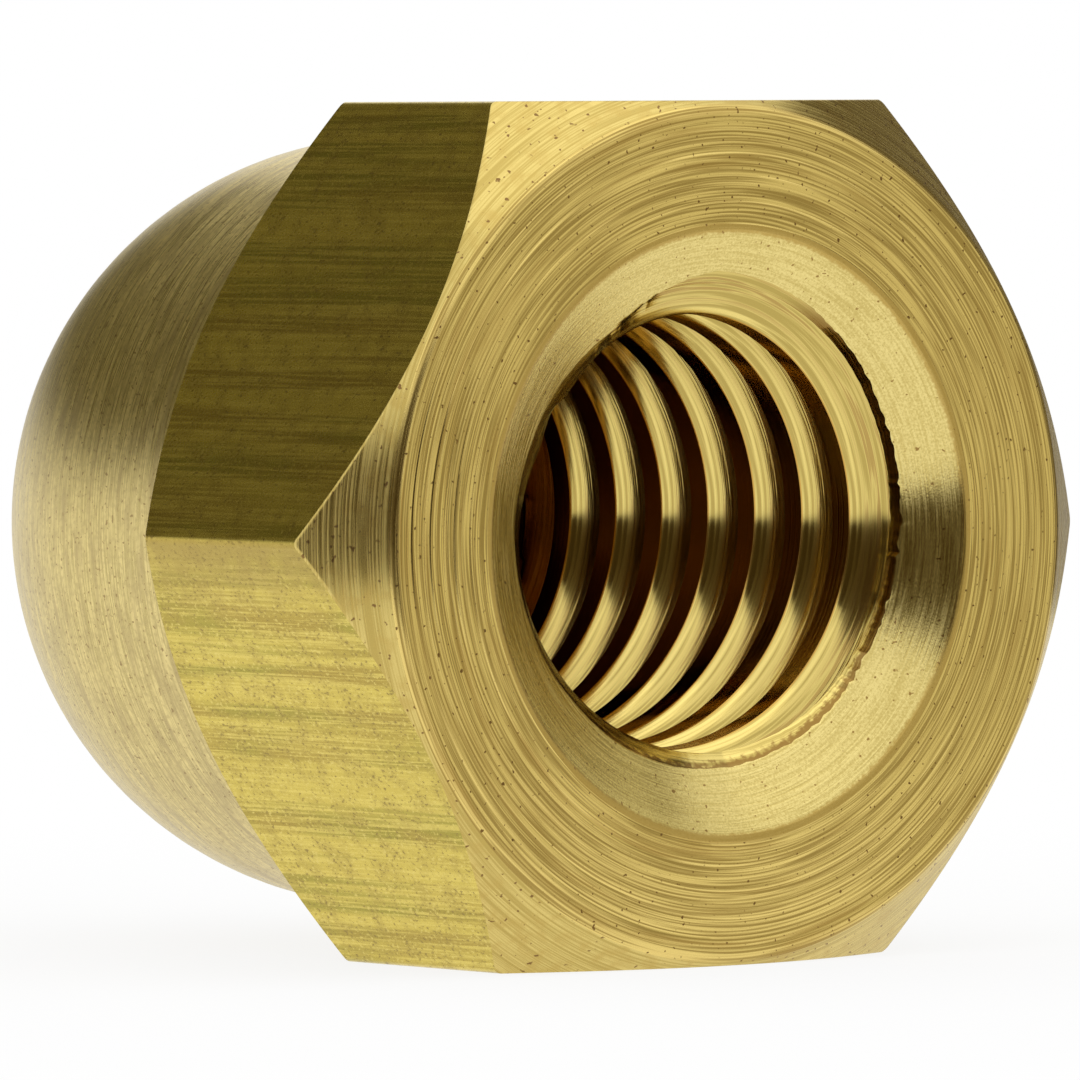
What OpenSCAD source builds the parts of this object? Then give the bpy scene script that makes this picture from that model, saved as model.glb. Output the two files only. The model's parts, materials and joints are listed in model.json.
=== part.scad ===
// Cap nut: a hexagon with a domed crown over a blind tapped hole, turned as one piece.
// The nut lies on one flat, with its thread along Y, the open end towards -Y and the crown towards +Y.
// The origin is the centre of the bearing face.

/* [Hexagon] */
// Width across the flats
across_flats = 17; // [14:0.5:22]
// Height from the bearing face to the shoulder of the crown
hex_height = 8; // [6:0.1:10]
// Radius that blunts the six long edges
arris_r = 0.2; // [0.05:0.05:0.6]

/* [Bearing face] */
// Diameter of the turned bearing face
face_d = 16.7; // [13:0.1:17]
// Angle of the chamfer between the face and the corners
face_chamfer_angle = 42; // [15:1:50]
// Radius of the edge between the face and its chamfer
face_edge_r = 0.3; // [0.1:0.05:0.6]

/* [Crown] */
// Diameter of the crown
crown_d = 15.6; // [12.5:0.1:16.6]
// Height of the whole nut
total_height = 18.65; // [17.5:0.05:22]
// Angle of the chamfer between the corners and the shoulder
shoulder_angle = 43; // [15:1:50]

/* [Tapped hole] */
// Diameter of the hole at the crests of the thread
core_d = 8.6; // [6:0.05:10]
// Depth of the hole at its full diameter
hole_depth = 14; // [9:0.1:15]
// Included angle of the drilled end
drill_angle = 118; // [90:1:150]
// Diameter of the countersink at the bearing face
sink_d = 12; // [10.5:0.1:14]
// Included angle of the countersink
sink_angle = 120; // [60:1:140]
// How far the hole widens from its crests to the countersink
lead_in = 0.55; // [0.3:0.05:0.8]
// Included angle of the lead-in between the countersink and the crests
lead_angle = 65; // [45:1:90]

/* [Thread] */
// Distance from one turn to the next
pitch = 1.5; // [1.25:0.05:1.75]
// Depth from the crests to the roots
thread_depth = 0.72; // [0.5:0.02:0.8]
// Width of a root
root_width = 0.12; // [0.06:0.02:0.3]
// Included angle of the flanks
flank_angle = 60; // [55:1:65]
// Length of plain hole past the end of the thread
plain_end = 2.5; // [1:0.1:4]
// Angle round the axis at which a root crosses the bearing face
thread_turn = 84; // [0:1:359]

/* [Hidden] */
$fn = 96;

// How far cuts run past the face that they open
overrun = 1;

crown_r = crown_d / 2;
crown_centre = total_height - crown_r;

// The long edges lie this far from the axis once they are blunted
sharp_r = across_flats / 2 / cos(30);
corner_r = sharp_r - arris_r * (1 / cos(30) - 1);

face_r = face_d / 2;
face_chamfer_end = (corner_r - face_r) * tan(face_chamfer_angle);
shoulder_chamfer_end = hex_height - (corner_r - crown_r) * tan(shoulder_angle);

// The rounded edge of the face touches the face and the chamfer this far from their corner
face_edge_reach = face_edge_r * tan(face_chamfer_angle / 2);

core_r = core_d / 2;
sink_slope = tan(sink_angle / 2);
lead_r = core_r + lead_in;
sink_depth = (sink_d / 2 - lead_r) / sink_slope;
lead_end = sink_depth + lead_in / tan(lead_angle / 2);
drill_point = core_r / tan(drill_angle / 2);

root_r = core_r + thread_depth;
thread_end = hole_depth - plain_end;

// Steps in one turn of the thread
turn_steps = 24;

// The groove's profile runs this far into the open hole, so that it cuts clear through the crests
groove_overlap = 0.15;
groove_mouth = root_width + 2 * (thread_depth + groove_overlap) * tan(flank_angle / 2);

// Corners of that profile: distance from the axis, and distance along it from the middle of the root
groove_profile = [
    [core_r - groove_overlap, groove_mouth / 2],
    [root_r, root_width / 2],
    [root_r, -root_width / 2],
    [core_r - groove_overlap, -groove_mouth / 2]
];

// Sliver between the sharp corner of the face and its rounded edge, as a half section
module face_edge_waste() {
    edge_centre = [face_r - face_edge_reach, face_edge_r];
    difference() {
        polygon([
            edge_centre,
            [face_r - face_edge_reach, 0],
            [face_r, 0],
            [
                face_r + face_edge_reach * cos(face_chamfer_angle),
                face_edge_reach * sin(face_chamfer_angle)
            ]
        ]);
        translate(edge_centre) circle(r = face_edge_r);
    }
}

// Half section of the turned form, with radius along X and height above the bearing face along Y
module turned_section() {
    difference() {
        polygon([
            [0, 0],
            [face_r, 0],
            [corner_r, face_chamfer_end],
            [corner_r, shoulder_chamfer_end],
            [crown_r, hex_height],
            [0, hex_height]
        ]);
        face_edge_waste();
    }
    square([crown_r, crown_centre]);
    translate([0, crown_centre]) intersection() {
        circle(r = crown_r);
        square(crown_r);
    }
}

// Half section of the blind hole, with its countersink, its lead-in and its drilled end
module hole_section() {
    polygon([
        [0, -overrun],
        [sink_d / 2 + overrun * sink_slope, -overrun],
        [lead_r, sink_depth],
        [core_r, lead_end],
        [core_r, hole_depth],
        [0, hole_depth + drill_point]
    ]);
}

// Right-handed helical groove that the tap cuts, from outside the bearing face to the end of the thread.
// Its profile is carried round the axis in steps, each joined to the next by a band of triangles.
module thread_groove() {
    turns = (thread_end + overrun) / pitch;
    steps = ceil(turns * turn_steps);
    corners = len(groove_profile);

    points = [
        for (step = [0 : steps])
            let (
                depth = (thread_end + overrun) * step / steps - overrun,
                angle = thread_turn + 360 * depth / pitch
            )
            for (corner = groove_profile)
                [corner.x * cos(angle), corner.x * sin(angle), depth + corner.y]
    ];

    first_end = [for (i = [0 : corners - 1]) i];
    last_end = [for (i = [corners - 1 : -1 : 0]) steps * corners + i];
    bands = [
        for (step = [0 : steps - 1], i = [0 : corners - 1])
            let (
                here = step * corners,
                next = here + corners,
                j = (i + 1) % corners
            )
            each [[here + i, next + i, next + j], [here + i, next + j, here + j]]
    ];
    polyhedron(points = points, faces = concat([first_end], bands, [last_end]));
}

// The nut on its own axis, with the bearing face down
module upright_nut() {
    difference() {
        intersection() {
            rotate_extrude() turned_section();
            cylinder(r = sharp_r, h = total_height, $fn = 6);
        }
        rotate_extrude() hole_section();
        thread_groove();
    }
}

module cap_nut() {
    color("goldenrod") rotate([-90, 0, 0]) upright_nut();
}

cap_nut();
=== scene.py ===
"""Looks of a brass cap nut: one turned piece with a tapped hole, on a white floor in soft light."""

import json
import math

import bmesh
import bpy
import numpy as np
from mathutils import Matrix, Vector


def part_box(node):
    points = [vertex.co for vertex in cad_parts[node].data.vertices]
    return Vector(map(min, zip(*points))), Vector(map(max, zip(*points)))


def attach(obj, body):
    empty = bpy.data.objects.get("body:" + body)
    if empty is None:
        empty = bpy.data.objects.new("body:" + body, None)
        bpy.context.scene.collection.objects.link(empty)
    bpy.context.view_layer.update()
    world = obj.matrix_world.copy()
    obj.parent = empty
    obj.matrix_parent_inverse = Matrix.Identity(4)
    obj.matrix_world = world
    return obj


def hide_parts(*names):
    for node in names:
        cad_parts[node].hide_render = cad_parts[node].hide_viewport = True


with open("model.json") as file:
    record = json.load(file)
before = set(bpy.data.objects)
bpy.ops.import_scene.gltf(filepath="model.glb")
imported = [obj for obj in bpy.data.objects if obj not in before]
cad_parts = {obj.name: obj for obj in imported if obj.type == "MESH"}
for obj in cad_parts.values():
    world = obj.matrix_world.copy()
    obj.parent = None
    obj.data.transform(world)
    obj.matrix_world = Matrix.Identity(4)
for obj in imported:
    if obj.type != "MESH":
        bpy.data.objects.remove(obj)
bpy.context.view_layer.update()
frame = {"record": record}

MM = 0.001
MICRON = 1e-6
FULL_TURN = 2 * math.pi
NODE = "cap_nut"
SEED = 11

# Sizes of the nut, in millimetres. Those that the frame states are read from it.
box_low, box_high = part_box(NODE)
MOUNTS = {mount["name"]: mount for mount in frame["record"]["mounts"]}
ACROSS_FLATS = (box_high.z - box_low.z) / MM
TOTAL_HEIGHT = box_high.y / MM
CORE_R = MOUNTS["thread"]["dims"]["r_mm"]
SIDES = 6
HEX_HEIGHT = 8.0
ARRIS_R = 0.2
FACE_R = 8.35
FACE_CHAMFER = math.radians(42)
FACE_EDGE_R = 0.3
CROWN_R = 7.8
SHOULDER_CHAMFER = math.radians(43)
SINK_R = 6.0
SINK_ANGLE = math.radians(60)
SINK_SLOPE = math.tan(SINK_ANGLE)
SINK_EDGE = 0.08
HOLE_DEPTH = 14.0
DRILL_SLOPE = math.tan(math.radians(59))
BEVEL = 0.015

# The thread: right-handed, with 60 degree flanks. CREST_DEPTH is where a crest crosses the +X side.
# The groove deepens over RUN_IN, in turns along the helix from the +X side, and ends over RUN_OUT, in depths.
# END_MARGIN is the length of plain hole past that end which is built with the thread.
PITCH = 1.5
THREAD_DEPTH = 0.72
ROOT_WIDTH = 0.12
FLANK_SLOPE = math.tan(math.radians(60))
FLANK_WIDTH = THREAD_DEPTH / FLANK_SLOPE
CREST_WIDTH = PITCH - ROOT_WIDTH - 2 * FLANK_WIDTH
CREST_DEPTH = 1.9
RUN_IN = (-0.36, -0.28)
RUN_OUT = (11.3, 12.1)
END_MARGIN = 0.1
EDGE_SOFTNESS = 0.018

# Edge between the countersink and the lead-in, which is not quite round: angles in degrees, the radius at
# each, and the angle at each between the lead-in and the axis.
# Past FIRST_CREST_END the next crest counts as the first.
MOUTH_ANGLES = (-110, -70, -25, 0, 45, 60, 75, 90, 122, 178, 225)
MOUTH_RADII = (4.64, 4.67, 4.74, 4.83, 4.98, 5.04, 5.10, 5.15, 4.64, 4.96, 4.66)
MOUTH_SLOPES = (48, 48, 25, 14, 22, 38, 50, 53, 57, 50, 48)
FIRST_CREST_END = math.radians(115)

# Burr that the tap left along that edge: teeth to a turn, usual height, and height, middle and spread of the
# worst stretch
BURR_TEETH = 300
BURR_HEIGHT = 0.005
WORST_BURR_HEIGHT = 0.03
WORST_BURR_ANGLE = math.radians(-12)
WORST_BURR_SPREAD = math.radians(55)

# Lines that turning left on the bearing face. A higher rarity makes deep lines fewer, and the swell is the
# share by which a line's depth comes and goes round the axis.
FACE_LINES = 46
FACE_LINE_DEPTH = 0.011
FACE_LINE_SPACING = (0.3, 1.7)
FACE_LINE_RARITY = 1.5
FACE_LINE_SWELL = 0.3
SWELL_WAVES = 4

# Columns of vertices: close together at the six long edges, in degrees from each, and even between them
NEAR_EDGE = (0, 0.14, 0.28, 0.42, 0.56, 0.75, 1.1, 1.7, 2.6)
COLUMNS_BETWEEN = 50

# Rings of vertices, as shares of the way along a surface or as a count of even steps
QUARTERS = (0.25, 0.5, 0.75, 1.0)
TO_ROOT_RINGS = (0.35, 0.7)
FROM_ROOT_RINGS = (0.3, 0.65)
BURR_RING = 0.04
SINK_RINGS = (0.1, *QUARTERS)
CHAMFER_RINGS = (0.03, 0.35, 0.7, 0.97, 1.0)
FLAT_RINGS = (0.01, 0.25, 0.5, 0.75, 0.99, 1.0)
SHOULDER_RINGS = (0.0, 0.03, 0.5, 1.0)
CROWN_STEPS = 3
DOME_STEPS = 32

# Rows of the thread go on this many turns past it, and those that come this close to its ends join them
SPARE_TURNS = 2
SNAP = 0.015

# Halvings that find where the countersink ends, and the angle from which an edge is shaded as sharp
HALVINGS = 40
SHARP_ANGLE = math.radians(26)

# The camera: turned about the nut's upright and level axes, and set so that the nut's origin falls on a pixel
IMAGE_SIZE = 1080
VIEW_YAW = 38.025
VIEW_PITCH = 1.937
VIEW_ROLL = 0.271
VIEW_DISTANCE = 258.7
ORIGIN_PIXEL = (732.5, 533.6)
PIXELS_PER_MM = 50.95
SENSOR_WIDTH = 36.0
CLIP_NEAR = 10
CLIP_FAR = 100000

# Panels that the metal reflects: name, azimuth, distance, width, lowest edge, highest edge, colour, and the
# share that fades. Lengths are in millimetres.
# Azimuth 0 is in front of the bearing face and 90 is on the +X side.
PANELS = (
    ("panel_front", -25, 46, 78, -9, 17, (0.07, 0.05, 0.024, 1), 0.22),
    ("panel_face", 46, 24, 36, -30, 15, (0.69, 0.67, 0.58, 1), 0.2),
    ("panel_right", 95, 75, 80, -30, 80, (0.16, 0.137, 0.09, 1), 0.25),
    ("panel_crown", -148, 300, 1100, 5, 420, (0.15, 0.132, 0.07, 1), 0.4),
)

# The floor: its side, its paint, the share of plain white beside the nut and from some way off, and the
# distances between which that share grows
FLOOR_SIDE = 8000
FLOOR_GREY = (0.9, 0.9, 0.9, 1)
FLOOR_WHITE = (0.85, 1.0)
FLOOR_FADE = (25.0, 60.0)
WHITE = (1, 1, 1, 1)

# The lamp: its side and its place in millimetres, and its power in watts
LAMP_SIDE = 300
LAMP_PLACE = (30, -80, 300)
LAMP_POWER = 0.09

# Colours of the metal
FACE_DARK = (0.42, 0.29, 0.075, 1)
FACE_LIGHT = (0.86, 0.655, 0.21, 1)
FACE_STAIN = (0.42, 0.26, 0.06, 1)
FACE_SPECK = (0.2, 0.11, 0.03, 1)
CHAMFER_DARK = (0.54, 0.40, 0.11, 1)
CHAMFER_LIGHT = (0.78, 0.61, 0.20, 1)
CHAMFER_BLOTCH = (0.58, 0.41, 0.11, 1)
CHAMFER_SPECK = (0.26, 0.15, 0.05, 1)
FLAT_BROWN = (0.48, 0.345, 0.06, 1)
FLAT_GREEN = (0.43, 0.36, 0.054, 1)
FLAT_LIGHT = (0.72, 0.565, 0.108, 1)
FLAT_LINE = (0.86, 0.69, 0.16, 1)
FLAT_MOTTLE = (0.47, 0.345, 0.07, 1)
FLAT_GLINT = (0.84, 0.68, 0.19, 1)
# Painted shade below the flats' level edges
FLAT_EDGE_SHADE = (0.45, 0.32, 0.078, 1)
FLAT_PIT = (0.33, 0.235, 0.055, 1)
CROWN_DARK = (0.58, 0.465, 0.18, 1)
CROWN_LIGHT = (0.88, 0.715, 0.30, 1)
CROWN_BRUSHED = (0.54, 0.42, 0.18, 1)
CROWN_CLOUD = (0.50, 0.39, 0.16, 1)
CROWN_SPECK = (0.4, 0.28, 0.11, 1)
SINK_DARK = (0.63, 0.49, 0.155, 1)
SINK_LIGHT = (0.88, 0.72, 0.275, 1)
SINK_RIM = (0.50, 0.33, 0.08, 1)
SINK_SPECK = (0.36, 0.22, 0.06, 1)
THREAD_DARK = (0.50, 0.375, 0.1, 1)
THREAD_LIGHT = (0.88, 0.70, 0.225, 1)
# Painted shade: brown towards the thread's roots, on its crests and as the lip's shadow
THREAD_ROOT_SHADE = (0.34, 0.19, 0.045, 1)
THREAD_CREST_SHADE = (0.60, 0.36, 0.08, 1)
THREAD_LIP_SHADOW = (0.27, 0.15, 0.038, 1)
# Painted shade deep in the hole
HOLE_SHADE_DARK = (0.13, 0.05, 0.009, 1)
HOLE_SHADE_LIGHT = (0.2, 0.09, 0.018, 1)

# Where patterns of the metal start and end: heights over which the painted shade below the flats' level edges
# fades out and in, radii of the countersink's brown rim, and radii where the crests' painted brown shade ends
STRIP_HEIGHTS = (-0.9, 0.9)
STRIP_TOP = (0.1, -0.05)
RIM_RADII = (SINK_R - 0.06, SINK_R + 0.02)
FLANK_RADII = (CORE_R + 0.01, CORE_R + 0.03)

# Turns from a crest over which a flank's painted shade grows browner; and the end of the lip's painted brown
# shadow in turns, its top and depth
ROOT_TURNS = (0.22, 0.34)
LIP_TURNS = (-0.45, -0.5)
LIP_TOP = (4.7, 4.0)
LIP_DEPTHS = (1.06, 0.96)

# Values between which most of a noise lies, width of a speck's soft edge in the noise, and the turn that
# stretches highlights across lines that run round the axis, as a share of a full turn
NOISE_RANGE = (0.3, 0.7)
SPECK_EDGE = 0.06
QUARTER_TURN = 0.25

FINISHES = ("face", "chamfer", "flat", "crown", "countersink", "thread", "drilled")

chance = np.random.default_rng(SEED)


def column_angles():
    """Angles of the columns of vertices round the axis, from +X towards +Z."""
    sixth = 360 / SIDES
    between = np.linspace(NEAR_EDGE[-1], sixth - NEAR_EDGE[-1], COLUMNS_BETWEEN)[1:-1]
    near = np.array(NEAR_EDGE)
    sextant = np.concatenate([near, between, sixth - near[:0:-1]])
    return np.radians(np.concatenate([sextant + sixth * side for side in range(SIDES)]))


def hexagon_radius(angle):
    """Distance from the axis to the flats and their blunted edges, at each angle."""
    sixth = FULL_TURN / SIDES
    off_corner = np.abs((angle + sixth / 2) % sixth - sixth / 2)
    flat = ACROSS_FLATS / 2 / np.cos(sixth / 2 - off_corner)
    centre = (ACROSS_FLATS / 2 - ARRIS_R) / math.cos(sixth / 2)
    end = math.atan2(ARRIS_R / 2, centre + ARRIS_R * math.cos(sixth / 2))
    chord = np.sqrt(np.maximum(ARRIS_R**2 - (centre * np.sin(off_corner)) ** 2, 0))
    return np.where(off_corner < end, centre * np.cos(off_corner) + chord, flat)


def swell(angle):
    """A slow random rise and fall round the axis, of about unit height."""
    total = np.zeros_like(angle)
    for wave in range(1, SWELL_WAVES + 1):
        total += chance.normal() / wave * np.cos(wave * angle + chance.uniform(0, FULL_TURN))
    return total


def thread_radius(depth, angle):
    """Radius of the tapped hole at a depth and an angle, with the thread fading out at both ends."""
    turns = (depth - CREST_DEPTH) / PITCH + angle / FULL_TURN
    from_crest = np.abs((turns + 0.5) % 1 - 0.5) * PITCH
    rise = np.clip((from_crest - CREST_WIDTH / 2) * FLANK_SLOPE, 0, THREAD_DEPTH)
    run_in = np.interp(np.ceil(turns) - angle / FULL_TURN, RUN_IN, (0, 1))
    run_out = np.interp(depth, RUN_OUT, (1, 0))
    return CORE_R + np.minimum(rise, THREAD_DEPTH * np.minimum(run_in, run_out))


class Mouth:
    """The lead-in between the countersink and the thread, with its ragged edge."""

    def __init__(self, angles):
        self.angles = angles
        teeth = np.linspace(0, FULL_TURN, BURR_TEETH, endpoint=False)
        rough = np.interp(angles, teeth, chance.normal(size=BURR_TEETH), period=FULL_TURN)
        off_worst = (angles - WORST_BURR_ANGLE + math.pi) % FULL_TURN - math.pi
        worst = np.exp(-((off_worst / WORST_BURR_SPREAD) ** 2))
        burr = rough * (BURR_HEIGHT + (WORST_BURR_HEIGHT - BURR_HEIGHT) * worst)
        degrees = np.degrees(angles)
        edge = np.interp(degrees, MOUTH_ANGLES, MOUTH_RADII, period=360) + burr
        self.lift = np.abs(rough) * BURR_HEIGHT * worst
        self.slope = np.tan(np.radians(np.interp(degrees, MOUTH_ANGLES, MOUTH_SLOPES, period=360)))
        self.at_face = edge + (SINK_R - edge) / SINK_SLOPE * self.slope
        signed = (angles + math.pi) % FULL_TURN - math.pi
        first_turn = (signed > FIRST_CREST_END) - signed / FULL_TURN
        self.first_crest = CREST_DEPTH + PITCH * first_turn - CREST_WIDTH / 2

    def radius(self, depth):
        """Radius of the lead-in and the thread at a depth, in each column."""
        lead = self.at_face - depth * self.slope
        first_flank = CORE_R + FLANK_SLOPE * (self.first_crest - depth)
        opening = np.minimum(lead, first_flank)
        thread = thread_radius(depth, self.angles)
        near = np.maximum(EDGE_SOFTNESS - np.abs(opening - thread), 0)
        return np.maximum(opening, thread) + near**2 / EDGE_SOFTNESS / 4

    def sink_end(self):
        """Depth at which the countersink ends, found by halving the interval."""
        low = np.zeros_like(self.angles)
        high = np.full_like(self.angles, (SINK_R - CORE_R) / SINK_SLOPE)
        for _ in range(HALVINGS):
            middle = (low + high) / 2
            inside = self.radius(middle) > SINK_R - middle * SINK_SLOPE
            high = np.where(inside, middle, high)
            low = np.where(inside, low, middle)
        return high

    def crest(self, turn):
        """Depths of both edges of a crest. The lead-in cuts down what lies before the first whole crest."""
        centre = CREST_DEPTH + PITCH * (turn - self.angles / FULL_TURN)
        outer = centre - CREST_WIDTH / 2
        inner = centre + CREST_WIDTH / 2
        cut_outer = (CORE_R + FLANK_SLOPE * outer - self.at_face) / (FLANK_SLOPE - self.slope)
        cut_inner = (self.at_face - CORE_R + FLANK_SLOPE * inner) / (FLANK_SLOPE + self.slope)
        cut = outer < self.first_crest - PITCH / 2
        outer = np.where(cut, np.minimum(outer, cut_outer), outer)
        inner = np.where(cut, np.maximum(inner, cut_inner), inner)
        return outer, inner

    def turn_rows(self, turn):
        """Depths of the rows of vertices from one crest to the next."""
        outer, inner = self.crest(turn)
        next_outer, _ = self.crest(turn + 1)
        root = CREST_DEPTH + PITCH * (turn + 0.5 - self.angles / FULL_TURN)
        soft = EDGE_SOFTNESS
        rows = [outer - soft, outer + soft, (outer + inner) / 2, inner - soft, inner + soft]
        root_outer = root - ROOT_WIDTH / 2
        root_inner = root + ROOT_WIDTH / 2
        rows += [inner + (root_outer - inner) * share for share in TO_ROOT_RINGS]
        rows += [root_outer - soft, root_outer + soft, root_inner - soft, root_inner + soft]
        rows += [root_inner + (next_outer - root_inner) * share for share in FROM_ROOT_RINGS]
        return rows


class Skin:
    """Closed surface of the nut, as rings of vertices round the axis, from the drilled end to the crown."""

    def __init__(self, angles):
        self.angles = angles
        self.count = len(angles)
        self.places = []
        self.faces = []
        self.finishes = []
        self.total = 0

    def ring(self, radius, depth):
        """Adds a ring of vertices, and returns their numbers."""
        radius = np.broadcast_to(radius, self.count)
        depth = np.broadcast_to(depth, self.count)
        self.places.append(np.stack([radius * np.cos(self.angles), depth, radius * np.sin(self.angles)], 1))
        self.total += self.count
        return np.arange(self.total - self.count, self.total)

    def tip(self, depth):
        """Adds one vertex on the axis, and returns its number for every column."""
        self.places.append(np.array([[0.0, depth, 0.0]]))
        self.total += 1
        return np.full(self.count, self.total - 1)

    def band(self, first, second, finish, shift=None):
        """Joins two rings. With a shift, the last column joins the vertices given there instead."""
        after_first = np.roll(first, -1)
        after_second = np.roll(second, -1)
        if shift is not None:
            after_first[-1], after_second[-1] = shift
        quads = np.stack([first, after_first, after_second, second], 1)
        for quad in quads:
            corners = [v for i, v in enumerate(quad) if v != quad[i - 1]]
            if len(set(corners)) == len(corners) > 2:
                self.faces.append([int(v) for v in corners])
                self.finishes.append(FINISHES.index(finish))

    def grow(self, last, radius, depth, finish):
        """Adds a ring, joins it to the last one, and returns it."""
        ring = self.ring(radius, depth)
        self.band(last, ring, finish)
        return ring


def add_thread(skin, mouth, start, start_depth, end, end_depth):
    """Rows of the thread along its helix. Where a row would leave the thread, it joins the ring there."""
    turns = range(-SPARE_TURNS, math.ceil((end_depth - CREST_DEPTH) / PITCH) + SPARE_TURNS)
    depths = np.maximum.accumulate([row for turn in turns for row in mouth.turn_rows(turn)])
    rows = []
    for depth in depths:
        inside = np.clip(depth, start_depth, end_depth)
        ring = skin.ring(mouth.radius(inside), inside)
        ring = np.where(depth < start_depth + SNAP, start, ring)
        rows.append(np.where(depth > end_depth - SNAP, end, ring))
    step = len(rows) // len(turns)
    for i in range(len(rows) - 1):
        shift = (rows[max(i - step, 0)][0], rows[max(i + 1 - step, 0)][0])
        skin.band(rows[i], rows[i + 1], "thread", shift)


def add_hole(skin):
    """Rings of the blind hole, from its drilled end to the rim of the countersink, which it returns."""
    tip = HOLE_DEPTH + CORE_R / DRILL_SLOPE
    last = skin.tip(tip)
    for share in QUARTERS:
        last = skin.grow(last, CORE_R * share, tip - CORE_R * share / DRILL_SLOPE, "drilled")
    end_depth = RUN_OUT[1] + END_MARGIN
    end = skin.grow(last, CORE_R, end_depth, "drilled")

    mouth = Mouth(skin.angles)
    start_depth = mouth.sink_end()
    start = skin.ring(SINK_R - start_depth * SINK_SLOPE, start_depth)
    add_thread(skin, mouth, start, start_depth, end, end_depth)

    # The burr stands up beside the ragged edge, along the countersink's own normal.
    rim_depth = SINK_EDGE / 2
    depth = start_depth + (rim_depth - start_depth) * BURR_RING
    radius = SINK_R - depth * SINK_SLOPE - mouth.lift * math.cos(SINK_ANGLE)
    last = skin.grow(start, radius, depth - mouth.lift * math.sin(SINK_ANGLE), "countersink")
    for share in SINK_RINGS:
        depth = start_depth + (rim_depth - start_depth) * share
        last = skin.grow(last, SINK_R - depth * SINK_SLOPE, depth, "countersink")
    for share in QUARTERS:
        depth = rim_depth * (1 - share) ** 2
        last = skin.grow(last, SINK_R - depth * SINK_SLOPE + SINK_EDGE * share**2, depth, "countersink")
    return last


def add_face(skin, rim):
    """Rings of the bearing face with its turned lines and its rounded edge, the last of which it returns."""
    flat_end = FACE_R - FACE_EDGE_R * math.tan(FACE_CHAMFER / 2)
    steps = np.cumsum(chance.uniform(*FACE_LINE_SPACING, FACE_LINES))
    start = SINK_R + SINK_EDGE
    radii = start + (flat_end - start) * steps / steps[-1]
    last = rim
    for radius in radii[:-1]:
        line_depth = FACE_LINE_DEPTH * chance.uniform() ** FACE_LINE_RARITY
        depth = line_depth * (1 + FACE_LINE_SWELL * swell(skin.angles))
        last = skin.grow(last, radius, np.maximum(depth, 0), "face")
    for share in (0.0, *QUARTERS):
        turn = FACE_CHAMFER * share
        radius = flat_end + FACE_EDGE_R * math.sin(turn)
        last = skin.grow(last, radius, FACE_EDGE_R * (1 - math.cos(turn)), "face")
    return last


def add_hexagon(skin, edge):
    """Rings of the chamfers and the flats, from the rounded edge of the face to the crown's foot."""
    last = edge
    hexagon = hexagon_radius(skin.angles)
    edge_end = FACE_R + FACE_EDGE_R * (math.sin(FACE_CHAMFER) - math.tan(FACE_CHAMFER / 2))
    chamfer_end = hexagon - BEVEL
    for share in CHAMFER_RINGS:
        radius = edge_end + (chamfer_end - edge_end) * share
        last = skin.grow(last, radius, (radius - FACE_R) * math.tan(FACE_CHAMFER), "chamfer")

    front = (hexagon - FACE_R) * math.tan(FACE_CHAMFER) + BEVEL
    back = HEX_HEIGHT - (hexagon - CROWN_R) * math.tan(SHOULDER_CHAMFER) - BEVEL
    last = skin.grow(last, hexagon, front, "chamfer")
    for share in FLAT_RINGS:
        last = skin.grow(last, hexagon, front + (back - front) * share, "flat")

    for share in SHOULDER_RINGS:
        radius = chamfer_end + (CROWN_R - chamfer_end) * share
        depth = HEX_HEIGHT - (radius - CROWN_R) * math.tan(SHOULDER_CHAMFER)
        last = skin.grow(last, radius, depth, "chamfer")
    return last


def add_crown(skin, foot):
    """Rings of the straight and the domed part of the crown, and its tip."""
    last = foot
    crown_centre = TOTAL_HEIGHT - CROWN_R
    for depth in np.linspace(HEX_HEIGHT, crown_centre, CROWN_STEPS + 1)[1:]:
        last = skin.grow(last, CROWN_R, depth, "crown")
    for turn in np.radians(np.linspace(0, 90, DOME_STEPS + 1)[1:-1]):
        last = skin.grow(last, CROWN_R * math.cos(turn), crown_centre + CROWN_R * math.sin(turn), "crown")
    skin.band(last, skin.tip(TOTAL_HEIGHT), "crown")


def build_nut(materials):
    """The nut as one closed mesh, riding on the frame in place of its solid."""
    skin = Skin(column_angles())
    rim = add_hole(skin)
    edge = add_face(skin, rim)
    foot = add_hexagon(skin, edge)
    add_crown(skin, foot)
    mesh = bpy.data.meshes.new("cap_nut_skin")
    places = np.concatenate(skin.places) * MM
    mesh.from_pydata(places.tolist(), [], skin.faces)
    for name in FINISHES:
        mesh.materials.append(materials[name])
    mesh.polygons.foreach_set("material_index", np.array(skin.finishes, np.int32))
    work = bmesh.new()
    work.from_mesh(mesh)
    loose = [v for v in work.verts if not v.link_faces]
    bmesh.ops.delete(work, geom=loose, context="VERTS")
    bmesh.ops.recalc_face_normals(work, faces=work.faces)
    work.to_mesh(mesh)
    work.free()
    mesh.shade_smooth()
    mesh.set_sharp_from_angle(angle=SHARP_ANGLE)
    nut = bpy.data.objects.new("cap_nut_skin", mesh)
    bpy.context.scene.collection.objects.link(nut)
    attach(nut, "root")
    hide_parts(NODE)


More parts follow.
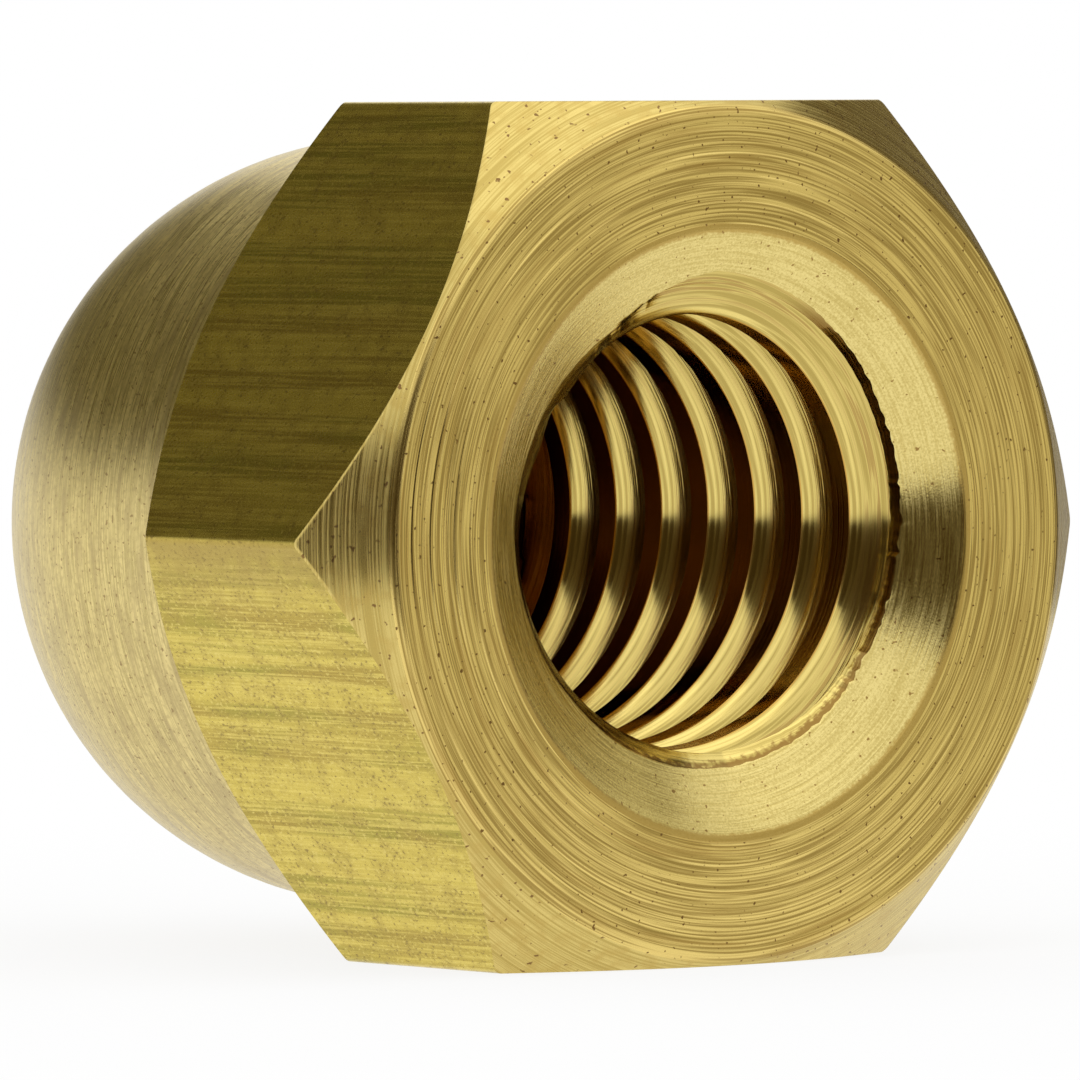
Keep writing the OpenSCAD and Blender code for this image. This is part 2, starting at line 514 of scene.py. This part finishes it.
class Nodes:
    """Adds nodes to a material by short calls."""

    def __init__(self, name):
        self.material = bpy.data.materials.new(name)
        self.material.use_nodes = True
        self.tree = self.material.node_tree

    def add(self, kind, inputs=None, **settings):
        """A new node with its settings, and with a value or a link for each input."""
        node = self.tree.nodes.new(kind)
        for name, value in settings.items():
            setattr(node, name, value)
        for slot, value in (inputs or {}).items():
            self.put(node.inputs[slot], value)
        return node

    def put(self, socket, value):
        """Links a socket to another node's output, or sets it to a value."""
        if isinstance(value, bpy.types.NodeSocket):
            self.tree.links.new(value, socket)
        else:
            socket.default_value = value

    def math(self, operation, *values):
        return self.add("ShaderNodeMath", dict(enumerate(values)), operation=operation).outputs[0]

    def vector(self, operation, *values, scale=None):
        node = self.add("ShaderNodeVectorMath", dict(enumerate(values)), operation=operation)
        if scale is not None:
            self.put(node.inputs["Scale"], scale)
        return node.outputs["Value" if operation == "LENGTH" else "Vector"]

    def combine(self, x, y, z):
        return self.add("ShaderNodeCombineXYZ", {0: x, 1: y, 2: z}).outputs[0]

    def span(self, value, low, high, start=0.0, end=1.0):
        """The value's way from low to high as a smooth step from start to end."""
        inputs = {"Value": value, "From Min": low, "From Max": high, "To Min": start, "To Max": end}
        return self.add("ShaderNodeMapRange", inputs, interpolation_type="SMOOTHSTEP").outputs[0]

    def mix(self, share, first, second):
        """A colour between two colours."""
        node = self.add("ShaderNodeMix", {"Factor": share}, data_type="RGBA")
        for slot, value in zip([s for s in node.inputs if s.type == "RGBA"], (first, second)):
            self.put(slot, value)
        return next(s for s in node.outputs if s.type == "RGBA")

    def glow(self, colour):
        return self.add("ShaderNodeEmission", {"Color": colour, "Strength": 1.0}).outputs[0]

    def show(self, share, first, second):
        """Joins a mix of two shaders to the material's output."""
        both = self.add("ShaderNodeMixShader", {0: share, 1: first, 2: second})
        self.add("ShaderNodeOutputMaterial", {0: both.outputs[0]})


class Brass(Nodes):
    """A brass material. Lengths in its patterns are in millimetres."""

    def __init__(self, name, anisotropy, lines_round):
        super().__init__("brass_" + name)
        self.shader = self.tree.nodes["Principled BSDF"]
        self.shader.inputs["Metallic"].default_value = 1
        self.shader.inputs["Anisotropic"].default_value = anisotropy
        self.shader.inputs["Anisotropic Rotation"].default_value = QUARTER_TURN if lines_round else 0
        tangent = self.add("ShaderNodeTangent", direction_type="RADIAL", axis="Y")
        self.put(self.shader.inputs["Tangent"], tangent.outputs[0])
        place = self.add("ShaderNodeTexCoord").outputs["Object"]
        self.place = self.vector("SCALE", place, scale=1 / MM)
        self.x, self.depth, self.z = self.add("ShaderNodeSeparateXYZ", {0: self.place}).outputs
        flat = self.combine(self.x, 0.0, self.z)
        self.outward = self.vector("NORMALIZE", flat)
        self.radius = self.vector("LENGTH", flat)

    def noise(self, vector, detail=2.0):
        inputs = {"Vector": vector, "Scale": 1.0, "Detail": detail}
        return self.add("ShaderNodeTexNoise", inputs).outputs[0]

    def rings(self, density, arcs, along=None, detail=2.0):
        """Noise drawn out round the axis, as a turning tool's lines: so many to each unit along a measure."""
        line = self.math("MULTIPLY", self.radius if along is None else along, density)
        place_round = self.vector("SCALE", self.outward, scale=arcs)
        return self.noise(self.vector("ADD", place_round, self.combine(0.0, line, 0.0)), detail)

    def streaks(self, per_mm, stretch, detail=2.0):
        """Noise drawn out along the axis: the lines that drawing the bar leaves."""
        return self.noise(self.vector("MULTIPLY", self.place, (per_mm, per_mm / stretch, per_mm)), detail)

    def grains(self, per_mm, detail=2.0):
        return self.noise(self.vector("SCALE", self.place, scale=per_mm), detail)

    def specks(self, per_mm, rare):
        """Share of a speck at a place, for ragged specks that grow fewer as rare grows towards 1."""
        return self.span(self.grains(per_mm, detail=1.0), rare, rare + SPECK_EDGE)

    def sum(self, *weighted):
        """Sum of pairs of a value and its weight."""
        total = 0.0
        for value, weight in weighted:
            total = self.math("MULTIPLY_ADD", value, weight, total)
        return total

    def roughness(self, noise, smooth, rough):
        """A roughness that a noise moves from smooth to rough."""
        return self.span(noise, *NOISE_RANGE, start=smooth, end=rough)

    def finish(self, colour, roughness, height, microns):
        """Joins the colour, the roughness and a relief of that many microns to the shader."""
        self.put(self.shader.inputs["Base Color"], colour)
        self.put(self.shader.inputs["Roughness"], roughness)
        bump = self.add("ShaderNodeBump", {"Height": height, "Distance": microns * MICRON, "Strength": 1.0})
        self.put(self.shader.inputs["Normal"], bump.outputs[0])
        return self.material


def face_brass():
    """Turned bearing face: golden, with many concentric lines, brown stains and specks."""
    brass = Brass("face", anisotropy=0.6, lines_round=True)
    coarse = brass.rings(density=9, arcs=1.5)
    lines = brass.rings(density=24, arcs=2.2, detail=3.0)
    stain = brass.span(brass.rings(density=3, arcs=2.5, detail=4.0), 0.5, 0.75, end=0.5)
    speck = brass.specks(per_mm=9, rare=0.68)
    body = brass.mix(brass.span(lines, 0.38, 0.62), FACE_DARK, FACE_LIGHT)
    stained = brass.mix(stain, body, FACE_STAIN)
    colour = brass.mix(speck, stained, FACE_SPECK)
    roughness = brass.roughness(coarse, smooth=0.18, rough=0.3)
    return brass.finish(colour, roughness, brass.sum((coarse, 1.0), (lines, 0.6)), microns=10)


def chamfer_brass():
    """Turned chamfers: brown gold, with fine lines, blotches and few specks."""
    brass = Brass("chamfer", anisotropy=0.6, lines_round=True)
    lines = brass.rings(density=28, arcs=2.2, detail=3.0)
    blotch = brass.span(brass.grains(per_mm=2.5, detail=4.0), 0.45, 0.7, end=0.6)
    speck = brass.specks(per_mm=8, rare=0.68)
    body = brass.mix(brass.span(lines, 0.36, 0.64), CHAMFER_DARK, CHAMFER_LIGHT)
    blotched = brass.mix(blotch, body, CHAMFER_BLOTCH)
    colour = brass.mix(speck, blotched, CHAMFER_SPECK)
    roughness = brass.roughness(lines, smooth=0.2, rough=0.32)
    return brass.finish(colour, roughness, lines, microns=5)


def flat_brass():
    """Drawn flats of the bar: deep yellow, with straight lines along the axis, mottling and small pits."""
    brass = Brass("flat", anisotropy=0.4, lines_round=False)
    broad = brass.streaks(per_mm=2.5, stretch=40, detail=3.0)
    lines = brass.streaks(per_mm=16, stretch=60, detail=3.0)
    mottle = brass.span(brass.grains(per_mm=2.2, detail=5.0), 0.42, 0.66, end=0.4)
    flecks = brass.streaks(per_mm=16, stretch=1.5, detail=3.0)
    pit = brass.span(brass.sum((flecks, 1.0), (mottle, 0.1)), 0.58, 0.72, end=0.85)
    glint = brass.span(flecks, 0.42, 0.32, end=0.7)
    green = brass.span(brass.streaks(per_mm=0.5, stretch=3, detail=3.0), 0.42, 0.58)

    # A strip of painted shade with a ragged lower end lies below the level edges.
    ragged = brass.sum((brass.z, 1.0), (brass.grains(per_mm=2, detail=4.0), 1.6))
    below_edge = brass.span(brass.z, *STRIP_TOP, end=0.85)
    strip = brass.math("MULTIPLY", brass.span(ragged, *STRIP_HEIGHTS), below_edge)

    dull = brass.mix(green, FLAT_BROWN, FLAT_GREEN)
    body = brass.mix(brass.span(broad, 0.38, 0.62), dull, FLAT_LIGHT)
    lined = brass.mix(brass.span(lines, 0.44, 0.64, end=0.7), body, FLAT_LINE)
    mottled = brass.mix(mottle, lined, FLAT_MOTTLE)
    glinting = brass.mix(glint, mottled, FLAT_GLINT)
    edge_shaded = brass.mix(strip, glinting, FLAT_EDGE_SHADE)
    colour = brass.mix(pit, edge_shaded, FLAT_PIT)
    roughness = brass.roughness(flecks, smooth=0.2, rough=0.3)
    relief = brass.sum((lines, 0.35), (flecks, 0.2), (pit, -0.2))
    return brass.finish(colour, roughness, relief, microns=5)


def crown_brass():
    """Turned and brushed crown: pale and cloudy, with fine lines round the axis and small brown specks."""
    brass = Brass("crown", anisotropy=0.4, lines_round=True)
    along = brass.math("SUBTRACT", brass.depth, brass.radius)
    coarse = brass.rings(density=4, arcs=5, along=along, detail=4.0)
    fine = brass.rings(density=24, arcs=7, along=along, detail=3.0)
    cloud = brass.span(brass.grains(per_mm=9, detail=5.0), 0.42, 0.68, end=0.5)
    speck = brass.specks(per_mm=11, rare=0.66)
    body = brass.mix(brass.span(fine, 0.36, 0.64), CROWN_DARK, CROWN_LIGHT)
    brushed = brass.mix(brass.span(coarse, 0.45, 0.75), body, CROWN_BRUSHED)
    clouded = brass.mix(cloud, brushed, CROWN_CLOUD)
    colour = brass.mix(speck, clouded, CROWN_SPECK)
    roughness = brass.roughness(fine, smooth=0.26, rough=0.36)
    return brass.finish(colour, roughness, brass.sum((coarse, 0.2), (fine, 0.4)), microns=4)


def countersink_brass():
    """Countersink: bright satin with fine lines and a fine grain, and brown along its rim."""
    brass = Brass("countersink", anisotropy=0.8, lines_round=True)
    grain = brass.grains(per_mm=22, detail=3.0)
    fine = brass.rings(density=26, arcs=4)
    ragged = brass.sum((brass.grains(per_mm=12, detail=3.0), 0.14), (brass.radius, 1.0))
    rim = brass.span(ragged, *RIM_RADII, end=0.8)
    shade = brass.span(brass.sum((grain, 0.5), (fine, 0.5)), 0.36, 0.64)
    body = brass.mix(shade, SINK_DARK, SINK_LIGHT)
    rimmed = brass.mix(rim, body, SINK_RIM)
    colour = brass.mix(brass.specks(per_mm=9, rare=0.7), rimmed, SINK_SPECK)
    roughness = brass.roughness(fine, smooth=0.16, rough=0.24)
    return brass.finish(colour, roughness, brass.sum((grain, 0.2), (fine, 1.0)), microns=4)


def thread_brass():
    """Tapped thread: bright flanks, lined along the helix; painted brown shade towards the roots and on the
    crests, a painted brown shadow on the lip, and painted dark deep in the hole.
    """
    brass = Brass("thread", anisotropy=0.6, lines_round=True)
    angle = brass.math("ARCTAN2", brass.z, brass.x)
    turns = brass.sum((brass.depth, 1 / PITCH), (angle, 1 / FULL_TURN))
    past_crest = brass.math("SUBTRACT", turns, CREST_DEPTH / PITCH)
    from_crest = brass.math("PINGPONG", past_crest, 0.5)
    lines = brass.rings(density=30, arcs=1.2, along=from_crest, detail=3.0)
    # Painted shade: the lines turn brown towards the roots
    towards_root = brass.span(from_crest, *ROOT_TURNS)
    groove = brass.math("MULTIPLY", brass.span(lines, 0.49, 0.57, end=0.7), towards_root)
    # Painted shade: the crests, inside these radii, are painted brown
    flank = brass.span(brass.radius, *FLANK_RADII)
    # Painted shade: darker deep in the hole
    deep = brass.span(brass.depth, RUN_OUT[0] - PITCH / 2, RUN_OUT[0])

    # The lip's painted brown shadow lies before the first groove, near the edge of the countersink, below a
    # height.
    ragged_turns = brass.sum((brass.grains(per_mm=12, detail=3.0), 0.15), (past_crest, 1.0))
    ragged_depth = brass.sum((brass.grains(per_mm=9, detail=3.0), 0.3), (brass.depth, 1.0))
    before_groove = brass.span(ragged_turns, *LIP_TURNS)
    near_edge = brass.span(ragged_depth, *LIP_DEPTHS, end=0.9)
    below_top = brass.span(brass.z, *LIP_TOP)
    lip = brass.math("MULTIPLY", brass.math("MULTIPLY", before_groove, below_top), near_edge)

    body = brass.mix(brass.span(lines, 0.38, 0.6), THREAD_DARK, THREAD_LIGHT)
    lined = brass.mix(groove, body, THREAD_ROOT_SHADE)
    crest_shaded = brass.mix(flank, THREAD_CREST_SHADE, lined)
    lip_shadowed = brass.mix(lip, crest_shaded, THREAD_LIP_SHADOW)
    colour = brass.mix(deep, lip_shadowed, HOLE_SHADE_LIGHT)
    roughness = brass.roughness(lines, smooth=0.09, rough=0.18)
    relief = brass.math("MULTIPLY", lines, brass.span(towards_root, 0, 1, start=1, end=3))
    return brass.finish(colour, roughness, relief, microns=3)


def drilled_brass():
    """Drilled end of the hole: dull, painted dark for the shade deep in the hole, with marks round the axis.
    """
    brass = Brass("drilled", anisotropy=0.5, lines_round=True)
    lines = brass.rings(density=8, arcs=3)
    colour = brass.mix(lines, HOLE_SHADE_DARK, HOLE_SHADE_LIGHT)
    return brass.finish(colour, brass.roughness(lines, smooth=0.3, rough=0.45), lines, microns=10)


def view_turn():
    """Rotation from the nut's own axes (right, up, out of the face) to the camera's."""
    yaw, pitch, roll = (math.radians(a) for a in (VIEW_YAW, VIEW_PITCH, VIEW_ROLL))
    return Matrix.Rotation(roll, 3, "Z") @ Matrix.Rotation(pitch, 3, "X") @ Matrix.Rotation(yaw, 3, "Y")


def add_camera():
    """Camera at the photograph's viewing angle and distance, almost level with the nut."""
    own_to_frame = Matrix(((1, 0, 0), (0, 0, -1), (0, 1, 0)))
    from_camera = own_to_frame @ view_turn().transposed()
    half = IMAGE_SIZE / 2
    across = (ORIGIN_PIXEL[0] - half) / PIXELS_PER_MM
    up = (half - ORIGIN_PIXEL[1]) / PIXELS_PER_MM
    eye = from_camera @ Vector((-across, -up, VIEW_DISTANCE)) * MM
    camera = bpy.data.objects.new("camera", bpy.data.cameras.new("camera"))
    camera.matrix_world = Matrix.Translation(eye) @ from_camera.to_4x4()
    camera.data.sensor_width = SENSOR_WIDTH
    camera.data.lens = SENSOR_WIDTH * PIXELS_PER_MM * VIEW_DISTANCE / IMAGE_SIZE
    camera.data.clip_start = CLIP_NEAR * MM
    camera.data.clip_end = CLIP_FAR * MM
    bpy.context.scene.collection.objects.link(camera)
    bpy.context.scene.camera = camera


def add_world():
    """Even white surroundings, which the camera and the metal see at a strength of 1."""
    world = bpy.data.worlds.new("studio")
    world.use_nodes = True
    background = world.node_tree.nodes["Background"]
    background.inputs["Color"].default_value = WHITE
    background.inputs["Strength"].default_value = 1
    bpy.context.scene.world = world


def add_sheet(name, width, height, level, material):
    """A flat stage piece about the origin, at a level along its own Z."""
    corners = [(x * width / 2, y * height / 2, level) for x, y in ((-1, -1), (1, -1), (1, 1), (-1, 1))]
    mesh = bpy.data.meshes.new(name)
    mesh.from_pydata([[c * MM for c in corner] for corner in corners], [], [range(len(corners))])
    mesh.materials.append(material)
    sheet = bpy.data.objects.new(name, mesh)
    bpy.context.scene.collection.objects.link(sheet)
    return sheet


def floor_paint():
    """White that keeps the nut's shadow: a share of what the camera and the metal see is plain white."""
    paint = Nodes("floor_paint")
    paint.tree.nodes.clear()
    path = paint.add("ShaderNodeLightPath").outputs
    shown = paint.math("MAXIMUM", path["Is Camera Ray"], path["Is Glossy Ray"])
    shown = paint.math("MAXIMUM", shown, path["Is Transmission Ray"])
    distance = paint.vector("LENGTH", paint.add("ShaderNodeTexCoord").outputs["Object"])
    white_share = paint.span(distance, FLOOR_FADE[0] * MM, FLOOR_FADE[1] * MM, *FLOOR_WHITE)
    lit = paint.add("ShaderNodeBsdfDiffuse", {"Color": FLOOR_GREY}).outputs[0]
    paint.show(paint.math("MULTIPLY", shown, white_share), lit, paint.glow(WHITE))
    return paint.material


def panel_paint(name, width, height, colour, fading):
    """Warm grey that fades out towards the panel's edges."""
    paint = Nodes(name + "_paint")
    paint.tree.nodes.clear()
    place = paint.add("ShaderNodeTexCoord").outputs["Object"]
    across, upward, _ = paint.add("ShaderNodeSeparateXYZ", {0: place}).outputs
    shares = []
    for axis, size in ((across, width), (upward, height)):
        half = size * MM / 2
        shares.append(paint.span(paint.math("ABSOLUTE", axis), half, half * (1 - fading)))
    clear = paint.add("ShaderNodeBsdfTransparent").outputs[0]
    paint.show(paint.math("MULTIPLY", *shares), clear, paint.glow(colour))
    return paint.material


def add_panels():
    """Upright panels round the nut, which only its reflections show."""
    for name, azimuth, distance, width, low, high, colour, fading in PANELS:
        height = high - low
        panel = add_sheet(name, width, height, 0, panel_paint(name, width, height, colour, fading))
        turn = Matrix.Rotation(math.radians(azimuth), 4, "Z")
        place = Vector((0, -distance, (low + high) / 2)) * MM
        panel.matrix_world = turn @ Matrix.Translation(place) @ Matrix.Rotation(math.radians(90), 4, "X")
        panel.visible_camera = False
        panel.visible_diffuse = False
        panel.visible_shadow = False


def add_lamp():
    """Broad soft lamp above the nut."""
    lamp = bpy.data.objects.new("lamp", bpy.data.lights.new("lamp", "AREA"))
    lamp.data.size = LAMP_SIDE * MM
    lamp.data.energy = LAMP_POWER
    lamp.location = Vector(LAMP_PLACE) * MM
    lamp.rotation_euler = (-lamp.location).to_track_quat("-Z", "Y").to_euler()
    bpy.context.scene.collection.objects.link(lamp)


build_nut({
    "face": face_brass(),
    "chamfer": chamfer_brass(),
    "flat": flat_brass(),
    "crown": crown_brass(),
    "countersink": countersink_brass(),
    "thread": thread_brass(),
    "drilled": drilled_brass(),
})
add_camera()
add_world()
add_sheet("floor", FLOOR_SIDE, FLOOR_SIDE, box_low.z / MM, floor_paint())
add_panels()
add_lamp()
bpy.context.scene.view_settings.view_transform = "Standard"
